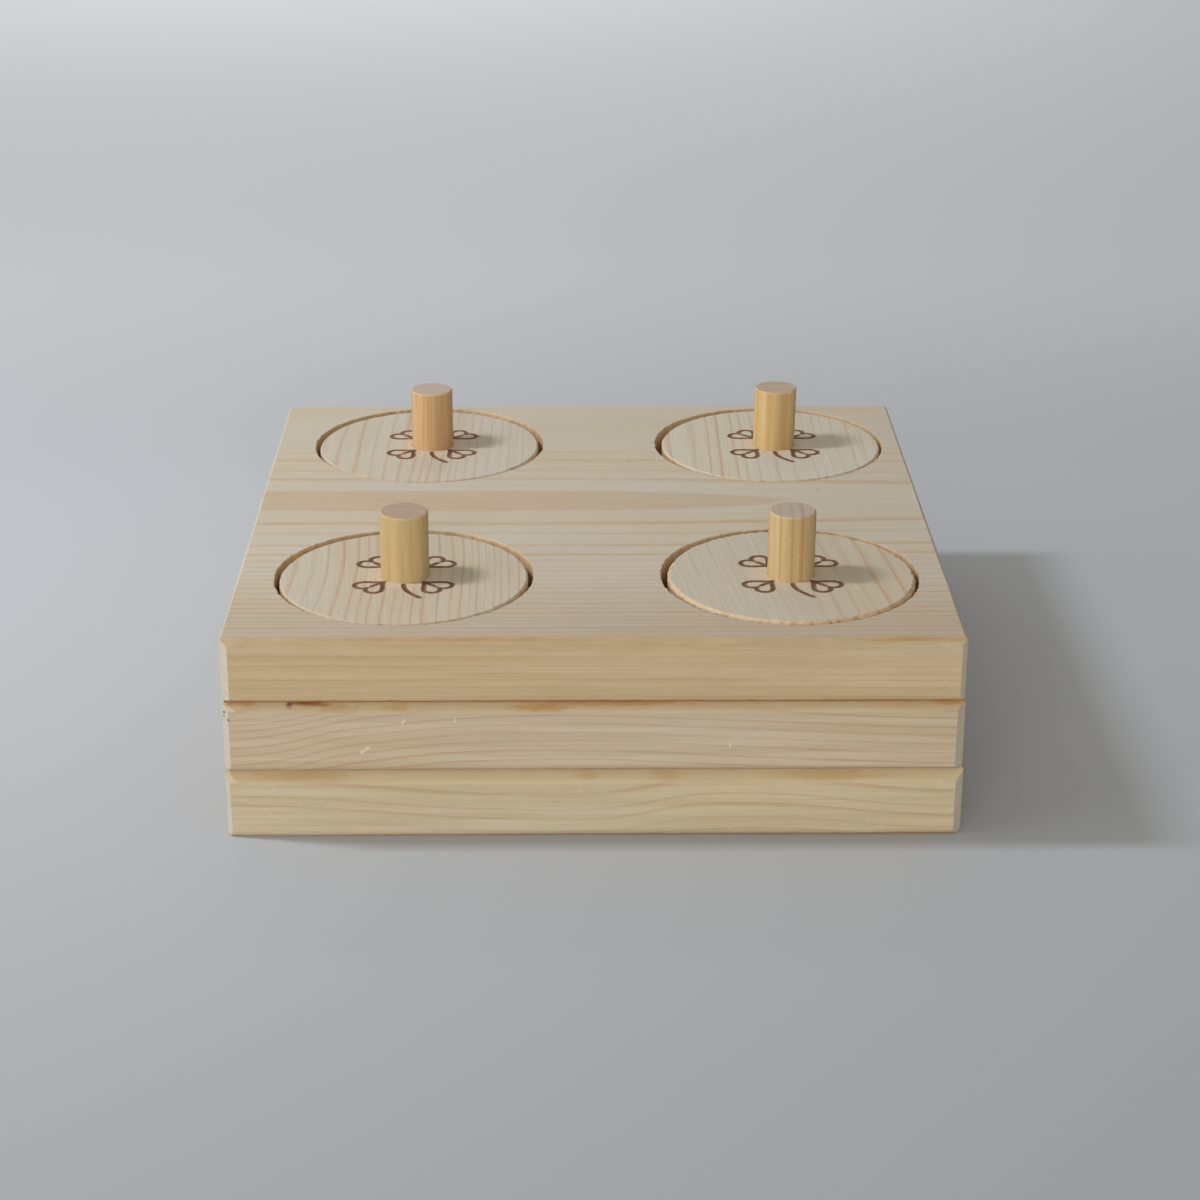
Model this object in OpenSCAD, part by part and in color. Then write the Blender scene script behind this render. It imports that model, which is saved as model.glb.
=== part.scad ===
// Wooden puzzle feeder for rabbits: three square pine boards glued face to face.
// The top board has four round holes, each closed by a loose lid with a dowel peg for a handle.
// Under each lid a smaller hole through the middle board makes a treat well, and the ledge
// between the two holes carries the lid. Millimetres, +Z up, the front is towards -Y.
// The origin is at the middle of the underside.

/* [Boards] */
// Width of the boards, left to right
board_w = 200; // [175:1:260]
// Depth of the boards, front to back
board_d = 200; // [175:1:260]
// How far the right end of each board stops short of the full width: top, middle and base board
right_short = [0.8, 0.4, 0]; // [0:0.1:2]
// Thickness of the top board
top_t = 18.4; // [12:0.1:26]
// Thickness of the middle board
middle_t = 20.2; // [12:0.1:32]
// Thickness of the base board
base_t = 19.6; // [9:0.1:26]
// Leg of the chamfer along the upper front and back edges: top, middle and base board
upper_chamfer = [1.9, 2.4, 3.3]; // [0.5:0.1:4]
// Leg of the chamfer along the lower front and back edges
lower_chamfer = 1.2; // [0.5:0.1:2.5]
// Leg of the eased edges at the ends of the boards, across the grain
end_ease = 0.8; // [0.3:0.1:2]
// Leg of the chamfer down the upright corners: top, middle and base board
corner_chamfer = [1.6, 2, 2.2]; // [0.5:0.1:4]

/* [Lid holes] */
// Diameter of the holes that are sawn through the top board
hole_d = 72.6; // [66:0.1:80]
// Wood between the front left hole and the left side
left_margin = 10.5; // [7:0.1:14]
// Wood between the front right hole and the right side
right_margin = 8.6; // [7:0.1:14]
// Wood between the front holes and the front
front_margin = 10; // [3.5:0.1:14]
// Wood between the back holes and the back
back_margin = 4; // [3.5:0.1:14]
// How far the back pair of holes sits to the right of the front pair
row_skew = 1.8; // [-3:0.1:3]

/* [Treat wells] */
// Width of the ledge between a lid hole and the well under it
ledge_w = 6.5; // [4.5:0.1:15]

/* [Lids] */
// Gap all round a centred lid, which is the width of the saw cut that made hole and lid
saw_kerf = 1.5; // [1.4:0.05:2.5]
// Gap left in front of each loose lid, which lies towards the front of its hole
front_gap = 0.45; // [0.3:0.05:1.4]
// How far each lid lies to the right in its hole: front left, front right, back left, back right
lid_right = [0, 0.3, -0.1, 0.6]; // [-0.6:0.1:0.6]
// Height of the lids' faces over the top board, in the order of lid_right
lid_proud = [0, 0.5, -0.1, 0.1]; // [-1:0.1:2]
// Leg of the eased edge round a lid's face and underside
lid_ease = 0.5; // [0.2:0.1:1.5]

/* [Pegs] */
// Diameter of each dowel peg, in the order of lid_right
peg_d = [13.6, 13.2, 13.1, 13.2]; // [8:0.1:20]
// Height of each peg over the face of its lid, in the same order
peg_rise = [19.1, 19.1, 18.6, 19.1]; // [10:0.1:40]
// Leg of the eased edge round a peg's ends
peg_ease = 0.4; // [0.2:0.1:1.5]
// Glue gap round a peg in its lid
glue_gap = 0.05; // [0.02:0.01:0.2]
// How far each peg stands to the right of its lid's middle, in the same order
peg_right = [0.2, -0.1, 1, 1]; // [-5:0.1:5]
// How far each peg stands behind its lid's middle, in the same order
peg_back = [1.7, 0.6, 1, 0.5]; // [-5:0.1:5]

/* [Hidden] */
$fn = 96;
// A cut runs this far past the faces that it opens
overcut = 1;
TOP = 0;
MIDDLE = 1;
BASE = 2;
FRONT_LEFT = 0;
FRONT_RIGHT = 1;
BACK_LEFT = 2;
BACK_RIGHT = 3;
PINE = [0.86, 0.77, 0.62];
LID_PINE = [0.84, 0.76, 0.63];
DOWEL = [0.85, 0.70, 0.45];

middle_z = base_t;
top_z = middle_z + middle_t;
well_d = hole_d - 2 * ledge_w;
lid_d = hole_d - 2 * saw_kerf;
lid_settle = saw_kerf - front_gap;
left_x = -board_w / 2 + left_margin + hole_d / 2;
right_x = board_w / 2 - right_margin - hole_d / 2;
front_y = -board_d / 2 + front_margin + hole_d / 2;
back_y = board_d / 2 - back_margin - hole_d / 2;
hole_centres = [
    [left_x, front_y],
    [right_x, front_y],
    [left_x + row_skew, back_y],
    [right_x + row_skew, back_y]
];

// Thickness of one lid, from the ledge to its face
function lid_t(place) = top_t + lid_proud[place];

// Where one lid stands on its ledge
function lid_seat(place) = concat(hole_centres[place] + [lid_right[place], -lid_settle], top_z);

// Where one peg stands on its lid, from the lid's middle
function peg_place(place) = [peg_right[place], peg_back[place], 0];

// Rectangle about the origin with its corners cut off at 45 degrees
module cut_rectangle(w, d, upper, lower) {
    polygon([
        [-w / 2 + lower, -d / 2],
        [w / 2 - lower, -d / 2],
        [w / 2, -d / 2 + lower],
        [w / 2, d / 2 - upper],
        [w / 2 - upper, d / 2],
        [-w / 2 + upper, d / 2],
        [-w / 2, d / 2 - upper],
        [-w / 2, -d / 2 + lower]
    ]);
}

// One board of thickness t on z = 0, chamfered along all twelve edges. It is what three prisms
// share: its outline seen from above, from the front and from the side.
module chamfered_board(t, board) {
    w = board_w - right_short[board];
    translate([-right_short[board] / 2, 0, 0])
        intersection() {
            linear_extrude(t)
                cut_rectangle(w, board_d, corner_chamfer[board], corner_chamfer[board]);
            rotate([90, 0, 0])
                translate([0, t / 2, -board_d / 2])
                    linear_extrude(board_d)
                        cut_rectangle(w, t, end_ease, end_ease);
            rotate([90, 0, 90])
                translate([0, t / 2, -w / 2])
                    linear_extrude(w)
                        cut_rectangle(board_d, t, upper_chamfer[board], lower_chamfer);
        }
}

// The same hole at each of the four places, through a board of thickness t on z = 0
module four_holes(d, t) {
    for (centre = hole_centres)
        translate([centre.x, centre.y, -overcut])
            cylinder(d = d, h = t + 2 * overcut);
}

// A round piece on z = 0 whose two ends have their edges eased
module eased_round(d, h, ease) {
    rotate_extrude()
        polygon([
            [0, 0],
            [d / 2 - ease, 0],
            [d / 2, ease],
            [d / 2, h - ease],
            [d / 2 - ease, h],
            [0, h]
        ]);
}

module top_board() {
    color(PINE)
        translate([0, 0, top_z])
            difference() {
                chamfered_board(top_t, TOP);
                four_holes(hole_d, top_t);
            }
}

module middle_board() {
    color(PINE)
        translate([0, 0, middle_z])
            difference() {
                chamfered_board(middle_t, MIDDLE);
                four_holes(well_d, middle_t);
            }
}

module base_board() {
    color(PINE)
        chamfered_board(base_t, BASE);
}

// The disc that the hole saw leaves, drilled through for its peg
module lid(place) {
    color(LID_PINE)
        translate(lid_seat(place))
            difference() {
                eased_round(lid_d, lid_t(place), lid_ease);
                translate(peg_place(place) - [0, 0, overcut])
                    cylinder(d = peg_d[place] + 2 * glue_gap, h = lid_t(place) + 2 * overcut);
            }
}

// A length of dowel, flush with the underside of its lid
module peg(place) {
    color(DOWEL)
        translate(lid_seat(place) + peg_place(place))
            eased_round(peg_d[place], lid_t(place) + peg_rise[place], peg_ease);
}

top_board();
middle_board();
base_board();
lid(FRONT_LEFT);  // front_left_lid
lid(FRONT_RIGHT);  // front_right_lid
lid(BACK_LEFT);  // back_left_lid
lid(BACK_RIGHT);  // back_right_lid
peg(FRONT_LEFT);  // front_left_peg
peg(FRONT_RIGHT);  // front_right_peg
peg(BACK_LEFT);  // back_left_peg
peg(BACK_RIGHT);  // back_right_peg
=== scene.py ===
# %% [markdown]
# # A wooden puzzle feeder for rabbits
# Three square pine boards are glued face to face. Four round lids lie loose in the top board, each over a
# treat well, and each has a dowel peg that a rabbit grips or nudges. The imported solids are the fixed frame:
# they give every size and place, and this lesson dresses them in wood.

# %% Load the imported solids
import math

import bmesh
import bpy
from mathutils import Euler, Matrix, Quaternion, Vector, kdtree, noise


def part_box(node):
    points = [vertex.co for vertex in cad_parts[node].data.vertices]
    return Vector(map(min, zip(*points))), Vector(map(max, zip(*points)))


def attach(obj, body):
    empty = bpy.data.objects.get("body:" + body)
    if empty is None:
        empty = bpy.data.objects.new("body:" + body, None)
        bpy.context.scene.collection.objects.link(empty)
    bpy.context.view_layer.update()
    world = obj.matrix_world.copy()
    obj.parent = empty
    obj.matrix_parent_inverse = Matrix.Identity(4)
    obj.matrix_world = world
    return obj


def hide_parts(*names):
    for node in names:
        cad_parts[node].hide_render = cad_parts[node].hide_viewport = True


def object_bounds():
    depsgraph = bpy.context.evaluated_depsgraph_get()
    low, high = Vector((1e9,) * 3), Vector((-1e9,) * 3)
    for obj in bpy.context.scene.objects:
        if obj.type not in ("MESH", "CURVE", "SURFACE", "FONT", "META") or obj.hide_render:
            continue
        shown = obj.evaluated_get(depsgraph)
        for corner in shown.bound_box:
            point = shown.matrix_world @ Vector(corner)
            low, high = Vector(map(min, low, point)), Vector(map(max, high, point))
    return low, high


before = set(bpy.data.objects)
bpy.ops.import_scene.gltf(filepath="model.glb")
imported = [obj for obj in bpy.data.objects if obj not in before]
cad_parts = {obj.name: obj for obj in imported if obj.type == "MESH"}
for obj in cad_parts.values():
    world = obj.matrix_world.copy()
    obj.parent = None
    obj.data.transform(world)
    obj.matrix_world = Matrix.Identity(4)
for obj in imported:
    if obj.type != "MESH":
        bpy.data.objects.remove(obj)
cad_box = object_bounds()
MM = 0.001
box_mm = [round(c / MM, 1) for corner in cad_box for c in corner]
print("solids:", len(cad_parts), "box in mm:", box_mm)

# %% [markdown]
# ## Camera
# The picture looks down on the front of the block from about 22 degrees with a short telephoto lens, so the
# sides close in gently towards the back. The place and lens were fitted to the block's corners.

# %% Set the camera
CAMERA_PLACE = Vector((-6.7, -746.3, 334.5)) * MM
CAMERA_TARGET = Vector((2.4, -1.2, 29.1)) * MM
CAMERA_ROLL = math.radians(0.16)
CAMERA_SENSOR = 36
CAMERA_LENS = 79.64

camera_data = bpy.data.cameras.new("camera")
camera_data.sensor_width = CAMERA_SENSOR
camera_data.lens = CAMERA_LENS
camera = bpy.data.objects.new("camera", camera_data)
bpy.context.scene.collection.objects.link(camera)
camera.location = CAMERA_PLACE
look = (CAMERA_TARGET - CAMERA_PLACE).to_track_quat("-Z", "Y")
camera.rotation_euler = (look @ Quaternion((0, 0, 1), CAMERA_ROLL)).to_euler()
bpy.context.scene.camera = camera
bpy.context.scene.view_settings.view_transform = "Standard"
print("camera distance in mm:", round((CAMERA_TARGET - CAMERA_PLACE).length / MM))

# %% [markdown]
# ## Shader steps
# Finishes here are worked out by nodes from a point's place on the object, in many small steps. A few
# helpers keep those steps short to write: add a node, do a sum, go smoothly from one value to another, make
# soft noise and lay one colour over another.

# %% Small helpers for shader nodes
def add(tree, kind, sockets=None, **settings):
    """Add a node, with its settings, and fill its sockets with numbers, colours or other nodes' outputs."""
    made = tree.nodes.new("ShaderNode" + kind)
    for name, value in settings.items():
        setattr(made, name, value)
    for name, value in (sockets or {}).items():
        if isinstance(value, bpy.types.NodeSocket):
            tree.links.new(value, made.inputs[name])
        else:
            made.inputs[name].default_value = value
    return made


def calc(tree, operation, *values):
    """One step of arithmetic."""
    return add(tree, "Math", dict(enumerate(values)), operation=operation).outputs[0]


def ease(tree, value, low, high, start=0.0, end=1.0):
    """Go smoothly from start to end while the value goes from low to high."""
    sockets = {"Value": value, "From Min": low, "From Max": high, "To Min": start, "To Max": end}
    return add(tree, "MapRange", sockets, interpolation_type="SMOOTHSTEP").outputs[0]


def mottle(tree, point, lump, detail=2.0):
    """Soft noise about 0.5, in lumps of so many millimetres along, across and up the grain."""
    scaled = add(tree, "VectorMath", {0: point, 1: [1 / size for size in lump]}, operation="MULTIPLY")
    return add(tree, "TexNoise", {"Vector": scaled.outputs[0], "Scale": 1.0, "Detail": detail}).outputs[0]


def tint(tree, amount, under, over, blend="MIX"):
    """Lay one colour over another."""
    sockets = {0: amount, 6: under, 7: over}
    return add(tree, "Mix", sockets, data_type="RGBA", blend_type=blend).outputs[2]


print("node helpers ready")

# %% [markdown]
# ## Floor and light
# The block stands on plain pale paper near a window. The window is a softbox on the left, about as high as
# it is far, so the shadow falls to the right and is about as long as the block is tall. It is narrow, which
# leaves the shadow's front edge crisp and its far edge soft. A broad fill from the front keeps the front
# faces as bright as the top, a cool one from the side picks out the left corners, and an even sky does the
# rest. The paper's colour carries painted shade, a little darker towards the viewer, and painted light,
# paler behind the block, where a lamp of its own also hangs over it.

# %% Lay the floor
def srgb(red, green, blue):
    """A colour as a paint program shows it, 0 to 255, as the linear colour that a shader wants."""
    def linear(value):
        value /= 255
        return value / 12.92 if value <= 0.04045 else ((value + 0.055) / 1.055) ** 2.4
    return (linear(red), linear(green), linear(blue), 1)


FLOOR_HALF = 4
# The nearest and farthest colours are painted shade and painted light: the paper darker towards the viewer
# and paler far behind the block
PAPER_NEAR_PAINTED_SHADE = srgb(161, 161, 160)
PAPER_MIDDLE = srgb(182, 182, 182)
PAPER_FAR_PAINTED_LIGHT = srgb(199, 199, 199)

bm = bmesh.new()
bmesh.ops.create_grid(bm, x_segments=1, y_segments=1, size=FLOOR_HALF)
floor_mesh = bpy.data.meshes.new("floor")
bm.to_mesh(floor_mesh)
bm.free()
floor = bpy.data.objects.new("floor", floor_mesh)
bpy.context.scene.collection.objects.link(floor)
paper = bpy.data.materials.new("pale_paper")
paper.use_nodes = True
paper_tree = paper.node_tree
paper_shader = paper_tree.nodes["Principled BSDF"]
paper_place = add(paper_tree, "SeparateXYZ", {0: add(paper_tree, "TexCoord").outputs["Object"]})
# Painted shade towards the viewer and painted light far behind the block
near_shade_fade = ease(paper_tree, paper_place.outputs["Y"], -0.4, 0.2)
paper_colour = tint(paper_tree, near_shade_fade, PAPER_NEAR_PAINTED_SHADE, PAPER_MIDDLE)
far_light_fade = ease(paper_tree, paper_place.outputs["Y"], 0.2, 0.5)
paper_colour = tint(paper_tree, far_light_fade, paper_colour, PAPER_FAR_PAINTED_LIGHT)
paper_tree.links.new(paper_colour, paper_shader.inputs["Base Color"])
paper_shader.inputs["Roughness"].default_value = 0.9
paper_shader.inputs["Specular IOR Level"].default_value = 0.1
floor_mesh.materials.append(paper)
print("floor:", floor.dimensions.x, "m wide")

# %% Hang the lights
def softbox(name, place, size, watts, colour, aim=(0, 0, 0.03), spread=180):
    """A lamp of so wide by so high that faces the block, or another place."""
    lamp_data = bpy.data.lights.new(name, "AREA")
    lamp_data.shape = "RECTANGLE"
    lamp_data.size, lamp_data.size_y = size
    lamp_data.energy = watts
    lamp_data.color = colour
    lamp_data.spread = math.radians(spread)
    lamp = bpy.data.objects.new(name, lamp_data)
    bpy.context.scene.collection.objects.link(lamp)
    lamp.location = place
    lamp.rotation_euler = (Vector(aim) - Vector(place)).to_track_quat("-Z", "Y").to_euler()
    print(name, "at", place)


softbox("window", (-0.5, -0.03, 0.63), (0.07, 0.15), 3.3, (0.92, 0.98, 1.1))
softbox("side_fill", (-1.5, -0.5, 0.45), (0.9, 0.9), 6.0, (0.94, 1.0, 1.06))
softbox("front_fill", (-0.3, -1.6, 0.3), (1.0, 1.0), 15.0, (1.0, 0.98, 0.95))
softbox("backdrop_lamp", (-0.3, 1.6, 1.3), (1.0, 0.8), 6.8, (0.96, 1.0, 1.05), aim=(-0.3, 1.6, 0),
        spread=115)
world = bpy.data.worlds.new("sky")
bpy.context.scene.world = world
world.use_nodes = True
sky = world.node_tree.nodes["Background"]
sky.inputs["Color"].default_value = (0.95, 0.955, 0.94, 1)
sky.inputs["Strength"].default_value = 0.46

# %% [markdown]
# ## Pine
# Pine grows in rings: each year a broad pale band, then a narrow tan one with a sharp outer side. A board
# shows those rings as flames on its face, as lines on its edges and as arcs on its ends. A flat stripe
# texture can't join these up, so the wood is worked out in depth: every point measures how far it lies from
# the pith, the line at the heart of the tree, and that distance gives its ring. Moving the pith changes the
# figure as it would at the sawmill. All of it is reckoned in millimetres.

# %% Where a point lies in the tree
SWAY_REACH = 130.0
SWAY_MOST = 12.0
DRIFT_LUMP = (90, 22, 22)
YEARS_LUMP = 9.0


def tree_point(tree, turn, pith):
    """A point of the piece in millimetres: along the grain, across it and up, measured from the pith."""
    rotation = Euler([math.radians(angle) for angle in turn])
    shift = -(rotation.to_matrix() @ Vector(pith))
    place = add(tree, "TexCoord").outputs["Object"]
    sockets = {"Vector": place, "Location": shift, "Rotation": rotation, "Scale": (1000, 1000, 1000)}
    return add(tree, "Mapping", sockets).outputs[0]


def sway(tree, along, bends):
    """How far the trunk bends up at each place along the board, from a few points of a curve."""
    part = add(tree, "MapRange", {"Value": along, "From Min": -SWAY_REACH, "From Max": SWAY_REACH}).outputs[0]
    curve = add(tree, "FloatCurve", {"Value": part})
    points = curve.mapping.curves[0].points
    ends = [(-SWAY_REACH, bends[0][1]), *bends, (SWAY_REACH, bends[-1][1])]
    places = [((x + SWAY_REACH) / (2 * SWAY_REACH), 0.5 + rise / (2 * SWAY_MOST)) for x, rise in ends]
    while len(points) < len(places):
        points.new(0.5, 0.5)
    for point, place in zip(points, places):
        point.location = place
    curve.mapping.update()
    sockets = {"Value": curve.outputs[0], "To Min": -SWAY_MOST, "To Max": SWAY_MOST}
    return add(tree, "MapRange", sockets).outputs[0]


def ring_radius(tree, point, bends, wander):
    """How far a point lies from the pith, which wanders a little as a trunk does."""
    along, across, up = add(tree, "SeparateXYZ", {0: point}).outputs
    if bends:
        up = calc(tree, "ADD", up, sway(tree, along, bends))
    squares = calc(tree, "MULTIPLY_ADD", across, across, calc(tree, "MULTIPLY", up, up))
    drift = calc(tree, "SUBTRACT", mottle(tree, point, DRIFT_LUMP), 0.5)
    return calc(tree, "MULTIPLY_ADD", drift, wander, calc(tree, "SQRT", squares))


def year_rings(tree, radius, ring_width, anchor):
    """How much tan late wood a point has, 0 to 1. One ring ends at the anchor, a radius in millimetres."""
    def growth_to(reach):
        wet_years = {"W": calc(tree, "DIVIDE", reach, YEARS_LUMP), "Scale": 1.0}
        good = add(tree, "TexNoise", wet_years, noise_dimensions="1D").outputs[0]
        return calc(tree, "MULTIPLY_ADD", good, 1.6, calc(tree, "DIVIDE", reach, ring_width))

    years = calc(tree, "SUBTRACT", growth_to(radius), growth_to(anchor))
    season = calc(tree, "FRACT", years)
    rise, drop = ease(tree, season, 0.62, 0.92), ease(tree, season, 0.93, 1.0, 1.0, 0.0)
    late = calc(tree, "MULTIPLY", rise, drop)
    growth = add(tree, "TexWhiteNoise", {"W": calc(tree, "FLOOR", years)}, noise_dimensions="1D").outputs[0]
    return calc(tree, "MULTIPLY", late, ease(tree, growth, -0.3, 1.0, 0.45, 1.0))


print("ring helpers ready")

# %% [markdown]
# ### From rings to a finish
# On top of the rings come slow patches of warmer wood, fine fibres and longer streaks along the grain, short
# brown resin canals and a few pale nicks. The streaks show mostly on upright faces. Ends of the grain have a
# shade of their own, because the cut fibres drink in light. Four marks come from the mesh: planed chamfers
# are browner than sanded faces, the corners are paler, sawn walls are tan from the saw and warmed further by
# painted bounce light from the narrow gaps, and burned lines are dark brown with a soft edge. Amber resin and
# other stains lie at places given in millimetres, and so does painted shade, dark and warm, in the seams
# between the boards and along the base's bottom edge. The same nodes also give the roughness and a faint
# raised grain.

# %% The pine finish
GRAIN_X = (0, 0, 0)
GRAIN_Z = (0, 90, 0)
PLANED_TAN = srgb(188, 165, 123)
# The sawn walls' colour is tan from the saw and warmed further by painted bounce light, as in the narrow gaps
# round the lids
SAWN_TAN_AND_BOUNCE = srgb(197, 165, 123)
CORNER_PALE = srgb(187, 178, 163)
STREAK_PALE = (1.04, 1.05, 1.07, 1)
STREAK_DARK = (0.95, 0.93, 0.9, 1)
END_BROWN = srgb(238, 224, 206)
END_RING = srgb(208, 184, 174)
SCORCHED = srgb(92, 66, 48)
SCORCH_EDGE = srgb(150, 108, 76)
WARM_PATCH = srgb(255, 246, 226)
FIBRE_SHADE = srgb(246, 240, 230)
RESIN_CANAL = srgb(200, 160, 120)
NICK_PALE = srgb(222, 212, 190)
BOARD_SHEEN = 0.35
PEG_SHEEN = 0.1
# Sizes of the noise in millimetres, along, across and up the grain
PATCH_LUMP = (130, 24, 24)
STREAK_LUMP = (80, 2.4, 2.4)
FIBRE_LUMP = (16, 0.4, 0.4)
RAGGED_LUMP = (9, 1.5, 1.5)
CANAL_LUMP = (7, 0.35, 0.35)
STAIN_LUMP = (3, 0.8, 0.8)
NICK_LUMP = (1.6, 0.6, 0.6)


def stain(tree, colour, point, middle, size, shade, amount, blend="MULTIPLY"):
    """A soft ragged spot round a place in millimetres."""
    away = add(tree, "VectorMath", {0: point, 1: middle}, operation="SUBTRACT").outputs[0]
    away = add(tree, "VectorMath", {0: away, 1: size}, operation="DIVIDE").outputs[0]
    reach = add(tree, "VectorMath", {0: away}, operation="LENGTH").outputs["Value"]
    reach = calc(tree, "MULTIPLY_ADD", mottle(tree, point, STAIN_LUMP), 0.9, reach)
    return tint(tree, ease(tree, reach, 0.75, 1.5, amount, 0.0), colour, shade, blend)


def pine(name, pale, tan, pith, ring_width, turn=GRAIN_X, bends=(), wander=3.0, lines=1.0, anchor=100.0,
         flame=0.0, fade=None, bands=(), ends=(END_BROWN, "MULTIPLY", 1.0), planed=PLANED_TAN, stains=(),
         sheen=BOARD_SHEEN):
    """Bare sanded pine. Pith is a point in millimetres that the heart of the tree passes through."""
    material = bpy.data.materials.new(name)
    material.use_nodes = True
    tree = material.node_tree
    shader = tree.nodes["Principled BSDF"]
    point = tree_point(tree, turn, pith)
    radius = ring_radius(tree, point, bends, wander)
    late = year_rings(tree, radius, ring_width, anchor)
    patch = mottle(tree, point, PATCH_LUMP, 1.0)
    fibre = mottle(tree, point, FIBRE_LUMP, 3.0)
    shown = calc(tree, "MULTIPLY", late, ease(tree, patch, 0.3, 0.7, 0.6 * lines, lines))
    across = add(tree, "SeparateXYZ", {0: point}).outputs[1]
    if fade:
        shown = calc(tree, "MULTIPLY", shown, ease(tree, across, fade[0], fade[1], 1.0, fade[2]))
    if flame:
        inside = calc(tree, "MULTIPLY", ease(tree, radius, anchor - 1.0, anchor - 0.6, 0.0, flame),
                      ease(tree, radius, anchor - 0.06, anchor, 1.0, 0.0))
        shown = calc(tree, "MAXIMUM", shown, inside)
    colour = tint(tree, shown, pale, tan)
    for low, high, shade, amount, blend in bands:
        colour = tint(tree, ease(tree, across, low, high, amount, 0.0), colour, shade, blend)
    colour = tint(tree, ease(tree, patch, 0.35, 0.75, 0.0, 0.5), colour, WARM_PATCH, "MULTIPLY")
    colour = tint(tree, ease(tree, fibre, 0.3, 0.7, 0.0, 0.55), colour, FIBRE_SHADE, "MULTIPLY")
    normal = add(tree, "TexCoord").outputs["Normal"]
    flatness = calc(tree, "ABSOLUTE", add(tree, "SeparateXYZ", {0: normal}).outputs["Z"])
    streak = ease(tree, mottle(tree, point, STREAK_LUMP), 0.35, 0.65)
    streak = tint(tree, streak, STREAK_PALE, STREAK_DARK)
    colour = tint(tree, ease(tree, flatness, 0.5, 0.95, 1.0, 0.25), colour, streak, "MULTIPLY")
    canal = ease(tree, mottle(tree, point, CANAL_LUMP, 1.0), 0.7, 0.78, 0.0, 0.3)
    colour = tint(tree, canal, colour, RESIN_CANAL, "MULTIPLY")
    nick = ease(tree, mottle(tree, point, NICK_LUMP, 0.0), 0.8, 0.84, 0.0, 0.3)
    colour = tint(tree, nick, colour, NICK_PALE)

    grain = Euler([math.radians(angle) for angle in turn]).to_matrix().inverted() @ Vector((1, 0, 0))
    facing = add(tree, "VectorMath", {0: normal, 1: grain}, operation="DOT_PRODUCT").outputs["Value"]
    end = ease(tree, calc(tree, "ABSOLUTE", facing), 0.6, 0.95, 0.0, 0.85)
    end_shade, end_blend, end_rings = ends
    colour = tint(tree, end, colour, end_shade, end_blend)
    end_late = calc(tree, "MULTIPLY", calc(tree, "MULTIPLY", end, late), end_rings)
    colour = tint(tree, end_late, colour, END_RING, "MULTIPLY")
    ragged = ease(tree, mottle(tree, point, RAGGED_LUMP), 0.3, 0.6, 0.6, 1.0)
    for mark, shade in (("planed", planed), ("sawn", SAWN_TAN_AND_BOUNCE), ("corner", CORNER_PALE)):
        amount = add(tree, "Attribute", attribute_name=mark).outputs["Fac"]
        colour = tint(tree, calc(tree, "MULTIPLY", amount, ragged), colour, shade)
    place = tree_point(tree, GRAIN_X, (0, 0, 0))
    for spot in stains:
        colour = stain(tree, colour, place, *spot)
    burn = add(tree, "Attribute", attribute_name="burned").outputs["Fac"]
    colour = tint(tree, ease(tree, burn, 0.0, 0.5), colour, SCORCH_EDGE)
    colour = tint(tree, calc(tree, "MULTIPLY", ease(tree, burn, 0.35, 0.9), ragged), colour, SCORCHED)
    tree.links.new(colour, shader.inputs["Base Color"])

    rough = calc(tree, "MULTIPLY_ADD", late, -0.1, 0.66)
    tree.links.new(calc(tree, "MULTIPLY_ADD", fibre, 0.12, rough), shader.inputs["Roughness"])
    shader.inputs["Specular IOR Level"].default_value = sheen
    relief = calc(tree, "MULTIPLY_ADD", late, 0.4, fibre)
    bump = add(tree, "Bump", {"Strength": 0.25, "Distance": 0.0003, "Height": relief})
    tree.links.new(bump.outputs[0], shader.inputs["Normal"])
    return material


print("pine ready")

# %% [markdown]
# ## Boards
# Each board is sawn, planed and chamfered by hand, so its chamfers waver a little and fade softly into the
# faces, and the hole saw leaves slightly torn rims. The solids already have the right sizes. A copy of each
# board's mesh is merged and cleaned to a few large faces, and its flat top and underside are taken off. Then
# its long edges are cut into short steps, those steps are nudged within their faces by slow noise, and a
# small bevel rounds the foot of each chamfer. The holes' walls are cut finer and made round, and the flat
# faces are filled in again. Last the rims of the holes are rounded and torn.

# %% Copy a solid and waver its chamfers
WELD = 0.001 * MM
ON_FACE = 0.01 * MM
CHAMFER_REACH = 3.8 * MM
LONG_EDGE = 100 * MM
WAVER_FRONT = 0.4 * MM
WAVER_OTHER = 0.12 * MM
FOOT_BEVEL = 0.7 * MM
FOOT_REACH = 95 * MM


def clean_copy(node):
    """The node's mesh as one skin of large faces, open at the flat top and underside."""
    bm = bmesh.new()
    bm.from_mesh(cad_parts[node].data)
    bmesh.ops.remove_doubles(bm, verts=bm.verts, dist=WELD)
    bmesh.ops.dissolve_limit(bm, angle_limit=math.radians(1), verts=bm.verts, edges=bm.edges)
    flat = [face for face in bm.faces if abs(face.normal.z) > 0.99]
    bmesh.ops.delete(bm, geom=flat, context="FACES")
    return bm


def fill_flats(bm, low, high):
    """Fill the open top and underside again, round the holes. This is done a thousand times larger, because
    the filling takes points closer than about 0.03 of a unit for one."""
    bmesh.ops.scale(bm, vec=(1 / MM, 1 / MM, 1 / MM), verts=bm.verts)
    for level, facing in ((low.z / MM, -1), (high.z / MM, 1)):
        outline = [e for e in bm.edges if e.is_boundary and abs(e.verts[0].co.z - level) < 0.01]
        filled = bmesh.ops.triangle_fill(bm, edges=outline, use_beauty=True, normal=(0, 0, facing))["geom"]
        for face in filled:
            if isinstance(face, bmesh.types.BMFace) and face.normal.z * facing < 0:
                face.normal_flip()
    bmesh.ops.scale(bm, vec=(MM, MM, MM), verts=bm.verts)


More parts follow.
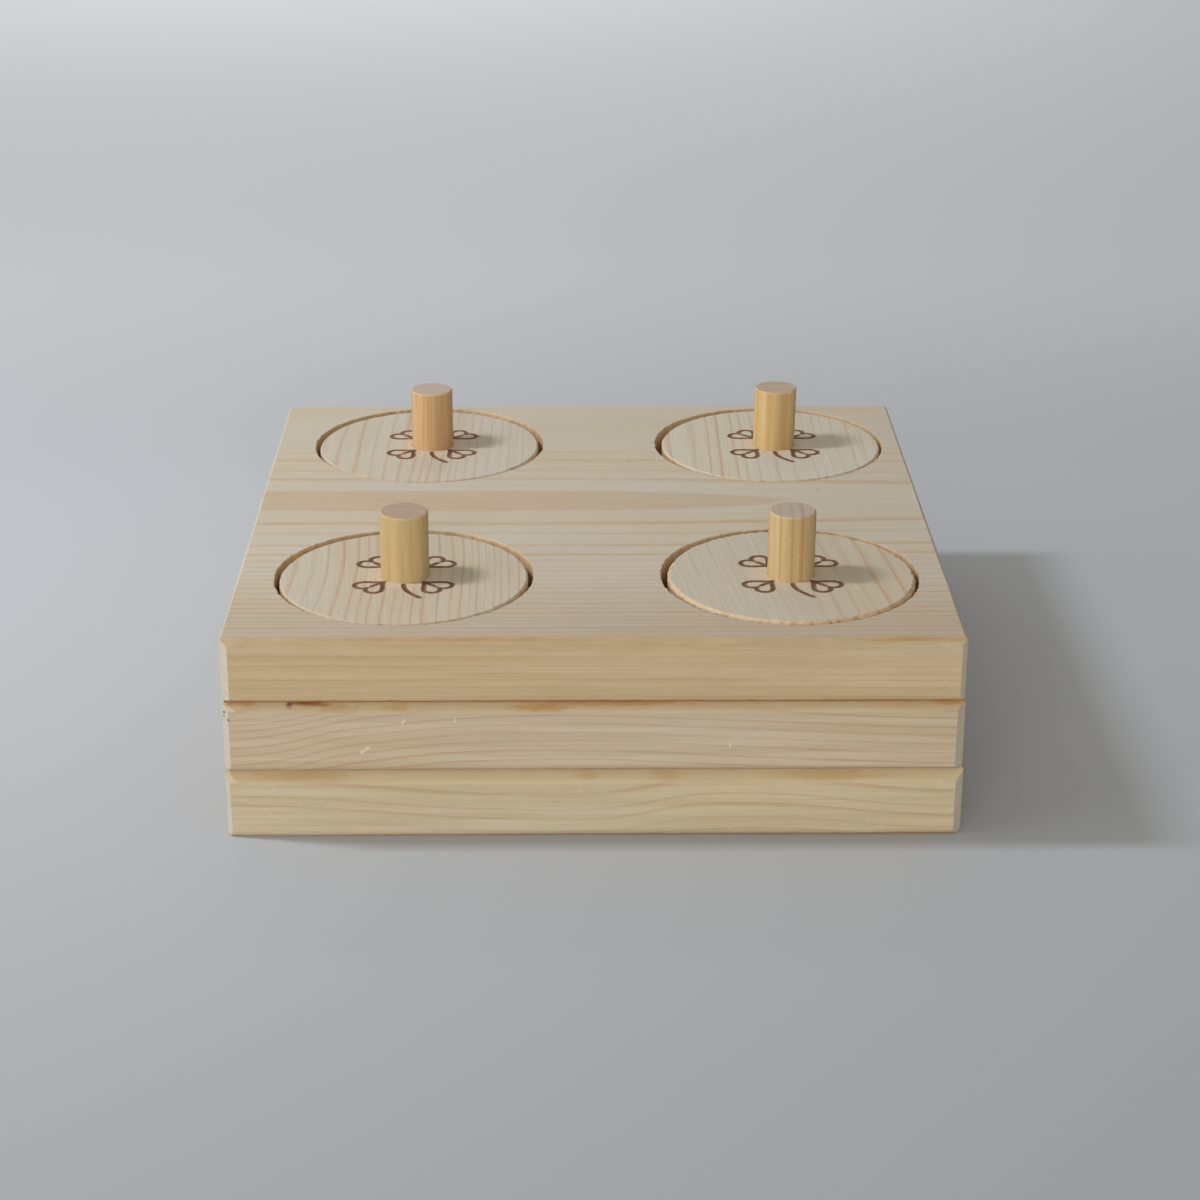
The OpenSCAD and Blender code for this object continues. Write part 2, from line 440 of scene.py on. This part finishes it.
def waver_chamfers(bm, low, high):
    """Nudge the chamfers' edges within the faces that they border."""
    long_edges = [edge for edge in bm.edges if edge.calc_length() > LONG_EDGE]
    bmesh.ops.subdivide_edges(bm, edges=long_edges, cuts=99, use_grid_fill=False)
    upright = [e for e in bm.edges if abs(e.verts[0].co.z - e.verts[1].co.z) > 10 * MM
               and max(abs(e.verts[0].co.x), abs(e.verts[0].co.y)) > 99 * MM]
    bmesh.ops.subdivide_edges(bm, edges=upright, cuts=7, use_grid_fill=False)
    for vert in bm.verts:
        inset = [min(c - a, b - c) for c, a, b in zip(vert.co, low, high)]
        flush = [axis for axis in range(3) if inset[axis] < ON_FACE]
        if len(flush) != 1:
            continue
        for axis in range(3):
            if axis not in flush and inset[axis] < CHAMFER_REACH:
                most = WAVER_FRONT if axis == 2 and flush[0] == 1 else WAVER_OTHER
                vert.co[axis] += most * noise.noise(vert.co * 45) + 0.4 * most * noise.noise(vert.co * 160)


def recut_corners(bm, low, high, legs):
    """Give the upright corner chamfers at the left and at the right their own legs."""
    insets = {v: (min(v.co.x - low.x, high.x - v.co.x), min(v.co.y - low.y, high.y - v.co.y))
              for v in bm.verts}
    drawn = min(sum(pair) for pair in insets.values())
    for vert, pair in insets.items():
        if sum(pair) < drawn + 0.05 * MM:
            left, front = vert.co.x < 0, vert.co.y < 0
            scale = legs[0 if left else 1] * MM / drawn
            vert.co.x = low.x + pair[0] * scale if left else high.x - pair[0] * scale
            vert.co.y = low.y + pair[1] * scale if front else high.y - pair[1] * scale


def soften_chamfers(bm):
    """Round the long edges where a chamfer meets the front or back face, up to near the corners."""
    bm.normal_update()
    feet = []
    for edge in bm.edges:
        a, b = (vert.co.x for vert in edge.verts)
        if len(edge.link_faces) == 2 and abs(a - b) > 0.5 * MM and max(abs(a), abs(b)) < FOOT_REACH:
            tilts = sorted(abs(face.normal.z) for face in edge.link_faces)
            if tilts[0] < 0.05 and 0.5 < tilts[1] < 0.9:
                feet.append(edge)
    made = bmesh.ops.bevel(bm, geom=feet, offset=FOOT_BEVEL, offset_type="OFFSET", segments=3, profile=0.5,
                           affect="EDGES", material=-1, clamp_overlap=True)
    for face in made["faces"]:
        face.smooth = True


print("board helpers ready")

# %% Ease the hole rims and mark the planed and sawn faces
INSIDE_REACH = 96.5 * MM
RIM_BEVEL = 0.3 * MM
RIM_REACH = 0.5 * MM
PLANED_MOST = 0.85


def sawn_walls(bm):
    """The upright faces inside the board, which the hole saw left."""
    return [f for f in bm.faces if abs(f.normal.z) < 0.1
            and max(abs(f.calc_center_median().x), abs(f.calc_center_median().y)) < INSIDE_REACH]


def hole_rims(bm):
    """The edges between the sawn walls and what lies next to them."""
    walls = set(sawn_walls(bm))
    return [e for e in bm.edges if len(walls & set(e.link_faces)) == 1]


def hole_centres(bm):
    """The middle of each hole, of which there is one in each quarter of the board, or none."""
    holes = {}
    for face in sawn_walls(bm):
        middle = face.calc_center_median().xy
        holes.setdefault((middle.x > 0, middle.y > 0), []).append(middle)
    return [sum(found, Vector((0, 0))) / len(found) for found in holes.values()]


def round_holes(bm, centres):
    """Cut the holes' walls into finer steps and set those on true circles. Gives each hole's radius."""
    bmesh.ops.subdivide_edges(bm, edges=hole_rims(bm), cuts=4, use_grid_fill=False)
    wall_verts = {v for f in sawn_walls(bm) for v in f.verts}
    radii = {tuple(centre): 0.0 for centre in centres}
    for vert in wall_verts:
        centre = min(centres, key=lambda c: (vert.co.xy - c).length)
        radii[tuple(centre)] = max(radii[tuple(centre)], (vert.co.xy - centre).length)
    for vert in wall_verts:
        centre = min(centres, key=lambda c: (vert.co.xy - c).length)
        vert.co.xy = centre + (vert.co.xy - centre).normalized() * radii[tuple(centre)]
    return radii


def ease_rims(bm, centres, radii):
    """Round the rims of the holes and tear them slightly."""
    bm.normal_update()
    bmesh.ops.bevel(bm, geom=hole_rims(bm), offset=RIM_BEVEL, offset_type="OFFSET", segments=2, profile=0.5,
                    affect="EDGES", material=-1, loop_slide=False)
    for vert in bm.verts:
        centre = min(centres, key=lambda c: (vert.co.xy - c).length)
        out = vert.co.xy - centre
        if out.length < radii[tuple(centre)] + RIM_REACH:
            tear = noise.noise(vert.co * 600) + 0.6 * noise.noise(vert.co * 1700)
            vert.co.xy += out.normalized() * max(-0.2, 0.32 * tear) * MM


def mark_faces(bm):
    """Say which faces are planed chamfers, upright corners and sawn walls, for the finish to read."""
    planed = bm.faces.layers.float.new("planed")
    corner = bm.faces.layers.float.new("corner")
    sawn = bm.faces.layers.float.new("sawn")
    bm.normal_update()
    for face in bm.faces:
        middle = face.calc_center_median()
        inside = max(abs(middle.x), abs(middle.y)) < INSIDE_REACH
        tilt = face.normal.z
        if inside and abs(tilt) < 0.9:
            face[sawn] = 1.0
            face.smooth = True
        elif not inside and 0.3 < abs(face.normal.x) < 0.95:
            upright = abs(tilt) < 0.3
            face[corner] = (1.0 if upright else 0.5) if middle.x < 0 else (0.7 if upright else 0.25)
        elif not inside and 0.15 < tilt < 0.95:
            face[planed] = PLANED_MOST * min(1.0, tilt / 0.6)


print("rim helpers ready")

# %% Make a mesh into a piece
def make_piece(bm, node, body, material):
    """Put a finished mesh in place of its solid, riding on the same body."""
    mesh = bpy.data.meshes.new(node + "_wood")
    bm.to_mesh(mesh)
    bm.free()
    mesh.materials.append(material)
    piece = bpy.data.objects.new(node + "_wood", mesh)
    bpy.context.scene.collection.objects.link(piece)
    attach(piece, body)
    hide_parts(node)
    print(piece.name, "has", len(mesh.polygons), "faces and rides on", body)
    return piece


# %% Resin, other stains and painted seam shade on the boards
AMBER = srgb(243, 220, 182)
DARK_RESIN = srgb(186, 126, 74)
# Painted shade, dark and warm with bounce light, laid along the seams between the boards and the base's
# bottom edge
PAINTED_SEAM_SHADE = srgb(229, 158, 100)
KNOT = srgb(158, 118, 88)
KNOT_RIM = srgb(226, 188, 133)
CHIP = srgb(214, 203, 176)
LESS_YELLOW = (1.03, 1.09, 1.18, 1)
SOOT = srgb(70, 60, 54)
# Each stain: its middle and its size in millimetres, its colour, how strong it is, and how it is laid on
top_stains = [
    ((84, -98.6, 57.6), (20, 1, 0.8), AMBER, 0.8), ((-38, -98.6, 57.7), (40, 0.9, 0.8), AMBER, 0.6),
    ((12, 42.5, 58.2), (0.5, 0.7, 0.4), SOOT, 0.5), ((69, 16, 58.2), (0.9, 0.8, 0.4), SOOT, 0.3),
    # The long thin band on the next line is painted shade in the seam under the top board
    ((0, -98.6, 39.8), (300, 3, 1.0), PAINTED_SEAM_SHADE, 0.9),
    ((92, -100, 49), (45, 1, 30), LESS_YELLOW, 1.0),
]
middle_stains = [
    # The long thin band on the next line is painted shade in the seam above the middle board
    ((0, -97.8, 39.8), (300, 3, 0.6), PAINTED_SEAM_SHADE, 0.75),
    ((-77.2, -98, 39.2), (6.5, 2, 0.8), KNOT_RIM, 1.0), ((-81.9, -98, 38.8), (1.3, 2, 1.2), KNOT, 0.9),
    ((-76, -98, 38.9), (9, 2, 1.0), DARK_RESIN, 0.6), ((-95, -98, 39), (6, 2, 1.0), AMBER, 1.0),
    ((-69, -98.6, 37.8), (7, 2, 1.6), AMBER, 0.7), ((-53, -98.6, 37.8), (5.5, 2, 1.7), AMBER, 0.6),
    ((-14, -98.6, 37.8), (12, 2, 1.7), AMBER, 1.0), ((-16, -98.6, 37.8), (7, 2, 1.2), AMBER, 0.3),
    ((8, -98, 39), (28, 2, 1.0), AMBER, 0.9), ((95, -98, 39.2), (8, 2, 0.9), AMBER, 1.0),
    ((-99.2, -98.6, 36.9), (0.7, 0.9, 0.5), SOOT, 1.0), ((-98.2, -99.4, 35), (0.5, 0.9, 0.8), SOOT, 1.0),
    # The second spot on the next line is painted shade in the lower seam
    ((-99.4, -98.6, 35.8), (0.4, 0.6, 0.4), SOOT, 1.0), ((0, -98.6, 19.6), (300, 3, 1.0), PAINTED_SEAM_SHADE, 0.45),
    ((-62.8, -100, 25.4), (0.8, 1, 0.5), CHIP, 0.9, "MIX"),
    ((-62, -100, 26), (0.8, 1, 0.5), CHIP, 0.9, "MIX"),
    ((-61.2, -100, 26.7), (0.8, 1, 0.5), CHIP, 0.9, "MIX"),
    ((-51.7, -100, 34.1), (0.6, 1, 0.5), CHIP, 0.8, "MIX"),
    ((-51.1, -100, 34.8), (0.6, 1, 0.5), CHIP, 0.8, "MIX"),
    ((-37.6, -100, 34.9), (0.35, 1, 1.1), CHIP, 0.8, "MIX"),
    ((36.3, -100, 27.3), (0.4, 1, 1.2), CHIP, 0.7, "MIX"),
]
base_stains = [
    ((-80, -98.4, 17.6), (18, 2, 1.9), AMBER, 0.6), ((-2, -98.4, 17.6), (5, 2, 1.8), AMBER, 0.5),
    ((19, -98.4, 17.6), (6, 2, 1.9), AMBER, 0.5), ((64, -98.4, 17.4), (22, 2, 1.9), AMBER, 0.6),
    # The next line is painted shade, in the seam above the base and along its bottom edge
    ((0, -97.6, 19.6), (300, 3, 0.6), PAINTED_SEAM_SHADE, 0.6), ((12, -99.2, 0), (300, 3, 0.6), PAINTED_SEAM_SHADE, 0.75),
]
print("stains:", len(top_stains) + len(middle_stains) + len(base_stains))

# %% Dress the three boards
BOARD_PALE = srgb(193, 179, 156)
BOARD_TAN = srgb(178, 149, 115)
board_pine = {
    "top_board": pine(
        "top_board_pine", srgb(187, 176, 158), BOARD_TAN, pith=(0, 6.8, -61.8), ring_width=1.75, wander=0.25,
        bends=[(-100, -0.32), (5, -0.32), (62, 0), (100, 0.2)], lines=0.8, anchor=120.0, flame=0.5,
        fade=(20, 60, 0.15), planed=srgb(162, 142, 107), stains=top_stains,
        # The first band is painted shade: it darkens the top board towards its front edge, on the top face
        # and the front
        bands=[(-106, -50, srgb(240, 235, 230), 1.0, "MULTIPLY"),
               (-105.2, -104.6, srgb(215, 183, 124), 0.35, "MIX")]),
    "middle_board": pine(
        "middle_board_pine", BOARD_PALE, srgb(180, 147, 119), pith=(0, 5, -68), ring_width=1.6, wander=2.0,
        bends=[(-100, 10), (-60, 3.2), (-20, 0), (40, 1.6), (100, 4)], lines=0.75, stains=middle_stains),
    "base_board": pine(
        "base_board_pine", srgb(196, 183, 154), BOARD_TAN, pith=(0, 10, -70), ring_width=2.6, wander=2.0,
        bends=[(-100, 0), (-5, 4.4), (36, -0.6), (100, 3.8)], lines=0.65, planed=srgb(197, 176, 136),
        stains=base_stains),
}
# Legs of the upright corner chamfers in millimetres, at the left and at the right
CORNER_LEGS = {"top_board": (2.3, 1.6), "middle_board": (1.8, 2.3), "base_board": (1.2, 2.2)}
for node, wood in board_pine.items():
    low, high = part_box(node)
    bm = clean_copy(node)
    recut_corners(bm, low, high, CORNER_LEGS[node])
    waver_chamfers(bm, low, high)
    soften_chamfers(bm)
    centres = hole_centres(bm)
    radii = round_holes(bm, centres) if centres else {}
    fill_flats(bm, low, high)
    if centres:
        ease_rims(bm, centres, radii)
    mark_faces(bm)
    make_piece(bm, node, "box", wood)

# %% [markdown]
# ## Lids
# A lid is the disc that the hole saw leaves, sanded and drilled for its peg. A lathe shape does it: half a
# section, spun round once. Its edge is eased by sanding and then frayed by slow and fine noise, most of all
# on the lid at the front on the right. The face carries a clover, burned in as a line about a millimetre
# wide. The section has close steps under the clover, so that each point near its lines can sink a little and
# take the burn's colour, which gives a real groove with a soft brown edge.

# %% Draw the clover
LEAF_START = 7.7
LEAF_LENGTH = 8.3
LINE_HALF = 0.6


def leaf_points(angle, steps=160):
    """A heart-shaped leaf whose tip points at the peg."""
    turn = math.radians(angle)
    for step in range(steps):
        t = 2 * math.pi * step / steps
        across = 16 * math.sin(t) ** 3
        out = 13 * math.cos(t) - 5 * math.cos(2 * t) - 2 * math.cos(3 * t) - math.cos(4 * t)
        a = LEAF_START + (out + 17) / 29 * LEAF_LENGTH
        b = across / 29 * LEAF_LENGTH
        x, y = a * math.cos(turn) - b * math.sin(turn), a * math.sin(turn) + b * math.cos(turn)
        yield Vector((x, y, 0)) * MM


def vein_points(angle, steps=24):
    """A short line up the middle of a leaf."""
    turn = math.radians(angle)
    for step in range(steps + 1):
        a = LEAF_START + LEAF_LENGTH * (0.22 + 0.36 * step / steps)
        yield Vector((a * math.cos(turn), a * math.sin(turn), 0)) * MM


def stem_points(steps=60):
    """A stem that curls forward from the peg."""
    for step in range(steps + 1):
        t = step / steps
        yield Vector((5 * t * t, -7.6 - 9.5 * t, 0)) * MM


LEAF_ANGLES = (45, 135, 225, 315)
clover = [point for angle in LEAF_ANGLES for point in (*leaf_points(angle), *vein_points(angle))]
clover += stem_points()
clover_tree = kdtree.KDTree(len(clover))
for index, point in enumerate(clover):
    clover_tree.insert(point, index)
clover_tree.balance()
print("clover reaches", round(max(p.length for p in clover) / MM, 1), "mm from the peg")

# %% Turn a lid and burn the clover in
BURN_DEPTH = 0.2 * MM
BURN_REACH = 21 * MM
FINE_REACH = 20.5 * MM
FINE_STEP = 0.25 * MM
COARSE_STEP = 1.2 * MM
GLUE_GAP = 0.05 * MM
SHARP = math.radians(30)


def lid_section(radius, bore, low, high, ease_leg):
    """Half the section of a lid as a closed loop of places, with close steps under the clover."""
    fine = [bore + step * FINE_STEP for step in range(int((FINE_REACH - bore) / FINE_STEP))]
    coarse = [radius - ease_leg - step * COARSE_STEP for step in range(10, -1, -1)]
    face = [(r, high) for r in fine + coarse]
    side = [(radius, high - ease_leg), (radius, low + ease_leg), (radius - ease_leg, low), (bore, low)]
    return [Vector((r, 0, z)) for r, z in face + side]


def burn_clover(bm, peg, high):
    """Sink the face along the clover's lines and mark how burned each point is."""
    burned = bm.verts.layers.float.new("burned")
    for vert in bm.verts:
        if vert.co.z < high - ON_FACE:
            continue
        flat = Vector((vert.co.x - peg.x, vert.co.y - peg.y, 0))
        if flat.length > BURN_REACH:
            continue
        gap = clover_tree.find(flat)[2] / MM + 0.12 * noise.noise(flat * 900)
        vert[burned] = min(1.0, max(0.0, (LINE_HALF + 0.25 - gap) / 0.4))
        vert.co.z -= BURN_DEPTH * min(1.0, max(0.0, (LINE_HALF - gap) / 0.35))


def turn_lid(node, peg_node, ease_leg, torn):
    """A lid with its peg hole, made on its own axis and moved to its place. Its edge is eased, then torn."""
    low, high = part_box(node)
    peg_low, peg_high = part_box(peg_node)
    middle = ((low + high) / 2).xy
    offset = ((peg_low + peg_high) / 2).xy - middle
    radius = (high.x - low.x) / 2
    bore = (peg_high.x - peg_low.x) / 2 + GLUE_GAP
    bm = bmesh.new()
    ring = [bm.verts.new(place) for place in lid_section(radius, bore, low.z, high.z, ease_leg)]
    edges = [bm.edges.new((a, b)) for a, b in zip(ring, ring[1:] + ring[:1])]
    bmesh.ops.spin(bm, geom=ring + edges, cent=(0, 0, 0), axis=(0, 0, 1), angle=2 * math.pi, steps=288,
                   use_merge=True)
    bmesh.ops.remove_doubles(bm, verts=bm.verts, dist=WELD)
    for vert in bm.verts:
        out = vert.co.xy.length
        vert.co.xy += offset * (1 - min(1.0, max(0.0, (out - bore) / (radius - ease_leg - bore))))
    bmesh.ops.recalc_face_normals(bm, faces=bm.faces)
    burn_clover(bm, Vector((*offset, 0)), high.z)
    sawn = bm.faces.layers.float.new("sawn")
    for face in bm.faces:
        face.smooth = True
        tilt = abs(face.normal.z)
        face[sawn] = 1.0 if tilt < 0.3 else 0.7 * torn / MM if tilt < 0.8 else 0.0
    for edge in bm.edges:
        edge.smooth = edge.calc_face_angle(0) < SHARP
    for vert in bm.verts:
        out = vert.co.xy.length
        if out > radius - ease_leg - 0.1 * MM:
            worn = max(0.0, noise.noise(vert.co * 600) + 0.6 * noise.noise(vert.co * 1700))
            frayed = abs(noise.noise(vert.co * 1300))
            vert.co.xy *= 1 - torn * worn / radius
            if out > radius - 0.1 * MM and vert.co.z > (low.z + high.z) / 2:
                vert.co.z -= 1.2 * torn * frayed
    bmesh.ops.translate(bm, verts=bm.verts, vec=(*middle, 0))
    return bm


LID_PALE = srgb(185, 174, 155)
LID_TAN = srgb(178, 148, 122)
PEG_FOOT_WARM = srgb(201, 179, 146)


def peg_foot_patch(place):
    """A warm pale patch on the lid round its peg."""
    low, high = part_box(place + "_peg")
    return [((*(500 * (low + high)).xy, 58), (14, 14, 30), PEG_FOOT_WARM, 0.95, "MIX")]


lid_pine = {
    "front_left": pine(
        "front_left_lid_pine", LID_PALE, LID_TAN, (-123, 0, -42), 1.65, (0, 0, -94), wander=1.5, lines=1.1,
        fade=(-100, -60, 0.82), bends=[(-90, 2.0), (-70, 1.0), (-50, 0.1), (-15, 0)],
        stains=peg_foot_patch("front_left")),
    "front_right": pine(
        "front_right_lid_pine", LID_PALE, LID_TAN, (105, 0, -42), 1.65, (0, 0, -97), wander=1.5, lines=0.75,
        fade=(30, 70, 0.35), stains=peg_foot_patch("front_right")),
    "back_left": pine(
        "back_left_lid_pine", srgb(187, 177, 160), LID_TAN, (-110, 0, -42), 1.65, (0, 0, -89), wander=1.5,
        lines=0.75, stains=peg_foot_patch("back_left")),
    "back_right": pine(
        "back_right_lid_pine", srgb(192, 183, 166), LID_TAN, (-18, 0, -42), 2.4, (0, 0, -90), wander=1.5,
        lines=0.48, fade=(-110, -60, 1.6), stains=peg_foot_patch("back_right")),
}
# How far each lid's edge is eased and how deep it is torn, in millimetres
LID_EDGE = {"front_left": (0.5, 0.4), "front_right": (0.75, 1.0),
            "back_left": (0.5, 0.4), "back_right": (0.5, 0.5)}
for place, wood in lid_pine.items():
    ease_leg, torn = (size * MM for size in LID_EDGE[place])
    bm = turn_lid(place + "_lid", place + "_peg", ease_leg, torn)
    make_piece(bm, place + "_lid", place + "_lifter", wood)

# %% [markdown]
# ## Pegs
# The pegs are lengths of softwood dowel, honey yellow and streaked along the grain, with their ends sawn
# square and the sharp edge taken off. They are spun from half a section too. The one at the back on the
# right was drilled a little off square and leans by about a degree above the lid, the one at the front on
# the left leans less, and a dowel is never quite true. Dowels are left duller than the sanded boards.

# %% Turn the pegs
PEG_EASE = 0.4 * MM
PEG_STEPS = 24
PEG_UNTRUE = 0.008
PEG_LEAN = {"front_left": 0.005, "front_right": 0.0, "back_left": 0.0, "back_right": 0.015}


def turn_peg(node, lid_node, lean):
    """A dowel peg, eased at both ends."""
    low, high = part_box(node)
    face_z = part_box(lid_node)[1].z
    middle = ((low + high) / 2).xy
    radius = (high.x - low.x) / 2
    straight = high.z - low.z - 2 * PEG_EASE
    side = [low.z + PEG_EASE + straight * step / PEG_STEPS for step in range(PEG_STEPS + 1)]
    section = [(0, low.z), (radius - PEG_EASE, low.z)] + [(radius, z) for z in side]
    section += [(radius - PEG_EASE, high.z), (0, high.z)]
    bm = bmesh.new()
    ring = [bm.verts.new((r, 0, z)) for r, z in section]
    edges = [bm.edges.new(pair) for pair in zip(ring, ring[1:])]
    bmesh.ops.spin(bm, geom=ring + edges, cent=(0, 0, 0), axis=(0, 0, 1), angle=2 * math.pi, steps=72,
                   use_merge=True)
    bmesh.ops.remove_doubles(bm, verts=bm.verts, dist=WELD)
    bmesh.ops.recalc_face_normals(bm, faces=bm.faces)
    for face in bm.faces:
        face.smooth = True
    for edge in bm.edges:
        edge.smooth = edge.calc_face_angle(0) < SHARP
    for vert in bm.verts:
        if vert.co.xy.length > 0.5 * radius:
            seed = Vector((vert.co.x + middle.x, vert.co.y + middle.y, vert.co.z))
            vert.co.xy *= 1 - PEG_UNTRUE * abs(noise.noise(seed * 150))
        vert.co.x += lean * max(0.0, vert.co.z - face_z)
    bmesh.ops.translate(bm, verts=bm.verts, vec=(*middle, 0))
    return bm


peg_pine = {
    "front_left": pine(
        "front_left_peg_pine", srgb(188, 164, 120), srgb(174, 143, 94), (-68, -138, 0), 3.0, GRAIN_Z,
        wander=0.3, lines=0.7, anchor=80.7, ends=(srgb(163, 141, 124), "MIX", 0.35), sheen=PEG_SHEEN),
    "front_right": pine(
        "front_right_peg_pine", srgb(191, 167, 124), srgb(176, 116, 66), (-29.7, -54.2, 0), 3.2, GRAIN_Z,
        wander=0.3, lines=1.0, anchor=85.2, ends=(srgb(169, 153, 140), "MIX", 0.35), sheen=PEG_SHEEN),
    "back_left": pine(
        "back_left_peg_pine", srgb(192, 160, 120), srgb(170, 130, 88), (-70, 40, 0), 1.0, GRAIN_Z, lines=0.7,
        ends=(srgb(173, 159, 149), "MIX", 0.35), sheen=PEG_SHEEN),
    "back_right": pine(
        "back_right_peg_pine", srgb(194, 168, 119), srgb(184, 134, 76), (60.5, -25.9, 0), 3.2, GRAIN_Z,
        wander=0.3, lines=0.9, anchor=79.6, ends=(srgb(172, 154, 137), "MIX", 0.35), sheen=PEG_SHEEN),
}
for place, wood in peg_pine.items():
    bm = turn_peg(place + "_peg", place + "_lid", PEG_LEAN[place])
    make_piece(bm, place + "_peg", place + "_lifter", wood)
